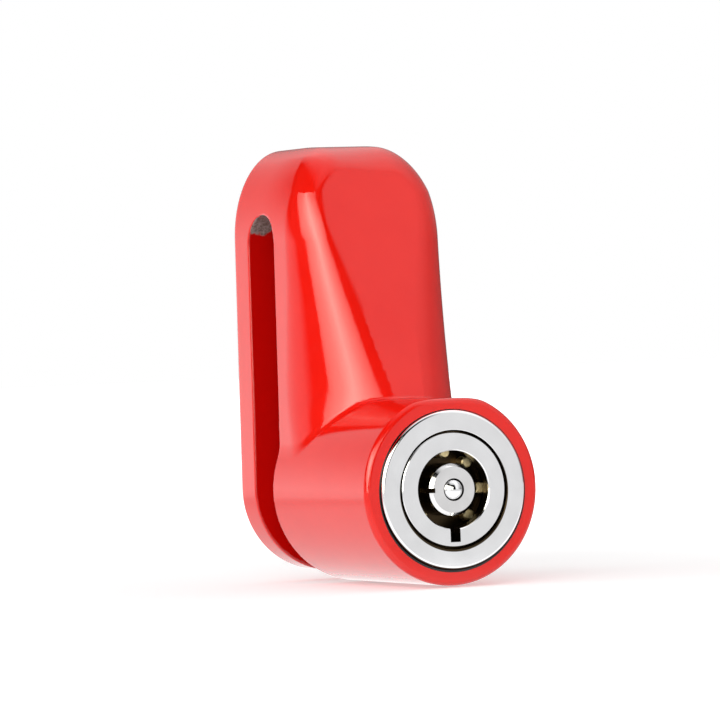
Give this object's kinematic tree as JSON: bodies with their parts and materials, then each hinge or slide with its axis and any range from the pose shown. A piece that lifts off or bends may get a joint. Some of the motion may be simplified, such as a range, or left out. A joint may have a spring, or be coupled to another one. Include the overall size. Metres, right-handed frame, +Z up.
{
  "type": "disc brake lock",
  "caption": "Forked disc brake lock: a painted body with a disc slot and a round boss, and a push-in tubular key cylinder whose bolt crosses the slot under a sprung latch.",
  "frame": {"origin": "on the axis of the bolt and key cylinder, at the middle of the disc slot's width", "axes": "+Z up towards the closed top of the fork, +Y along the bolt towards the back leg, so the key face looks along -Y, and +X to the right as seen from the key side"},
  "size_m": [0.025, 0.0429, 0.0585],
  "materials": {
    "red_paint": "gloss",
    "chrome": "polished",
    "spindle_plating": "satin",
    "ball_steel": "polished",
    "brass": "turned",
    "spring_wire": "bright",
    "pin_steel": "ground",
    "hard_steel": "stamped",
    "bolt_steel": "ground"
  },
  "bodies": {
    "housing": {"body": "red_paint", "collar": "chrome", "return_spring": "spring_wire"},
    "core": {"core_shell": "chrome", "pin_bush": "brass", "bush_pin": "pin_steel", "driver_pins": "brass", "pin_springs": "spring_wire", "locking_bolt": "bolt_steel", "bolt_pin": "pin_steel", "latch_spring": "spring_wire"},
    "spindle": {"spindle": "spindle_plating", "anti_drill_ball": "ball_steel", "drive_cam": "hard_steel", "cam_clip": "pin_steel"},
    "latch": {"latch_slide": "hard_steel"},
    "key_pin_1": {"key_pin_1": "brass"},
    "key_pin_2": {"key_pin_2": "brass"},
    "key_pin_3": {"key_pin_3": "brass"},
    "key_pin_4": {"key_pin_4": "brass"},
    "key_pin_5": {"key_pin_5": "brass"},
    "key_pin_6": {"key_pin_6": "brass"},
    "key_pin_7": {"key_pin_7": "brass"}
  },
  "joints": [
    {"name": "core_push", "type": "slide", "parent": "housing", "child": "core", "axis": [0, -1, 0], "range_m": [0, 0.0114], "deforming": ["return_spring"]},
    {"name": "spindle_turn", "type": "hinge", "parent": "core", "child": "spindle", "pos_m": [0, 0, 0], "axis": [0, 1, 0], "range_deg": [-90, 0]},
    {"name": "latch_throw", "type": "slide", "parent": "core", "child": "latch", "axis": [0, 0, 1], "range_m": [-0.0014, 0], "deforming": ["latch_spring"]},
    {"name": "key_pin_1_press", "type": "slide", "parent": "spindle", "child": "key_pin_1", "axis": [0, 1, 0], "range_m": [0, 0.0012], "stiffness_N_per_m": 150},
    {"name": "key_pin_2_press", "type": "slide", "parent": "spindle", "child": "key_pin_2", "axis": [0, 1, 0], "range_m": [0, 0.0012], "stiffness_N_per_m": 150},
    {"name": "key_pin_3_press", "type": "slide", "parent": "spindle", "child": "key_pin_3", "axis": [0, 1, 0], "range_m": [0, 0.0012], "stiffness_N_per_m": 150},
    {"name": "key_pin_4_press", "type": "slide", "parent": "spindle", "child": "key_pin_4", "axis": [0, 1, 0], "range_m": [0, 0.0012], "stiffness_N_per_m": 150},
    {"name": "key_pin_5_press", "type": "slide", "parent": "spindle", "child": "key_pin_5", "axis": [0, 1, 0], "range_m": [0, 0.0012], "stiffness_N_per_m": 150},
    {"name": "key_pin_6_press", "type": "slide", "parent": "spindle", "child": "key_pin_6", "axis": [0, 1, 0], "range_m": [0, 0.0012], "stiffness_N_per_m": 150},
    {"name": "key_pin_7_press", "type": "slide", "parent": "spindle", "child": "key_pin_7", "axis": [0, 1, 0], "range_m": [0, 0.0012], "stiffness_N_per_m": 150}
  ],
  "couplings": [
    {"joint": "spindle_turn", "follows": "latch_throw", "rad_per_m": 1122}
  ]
}
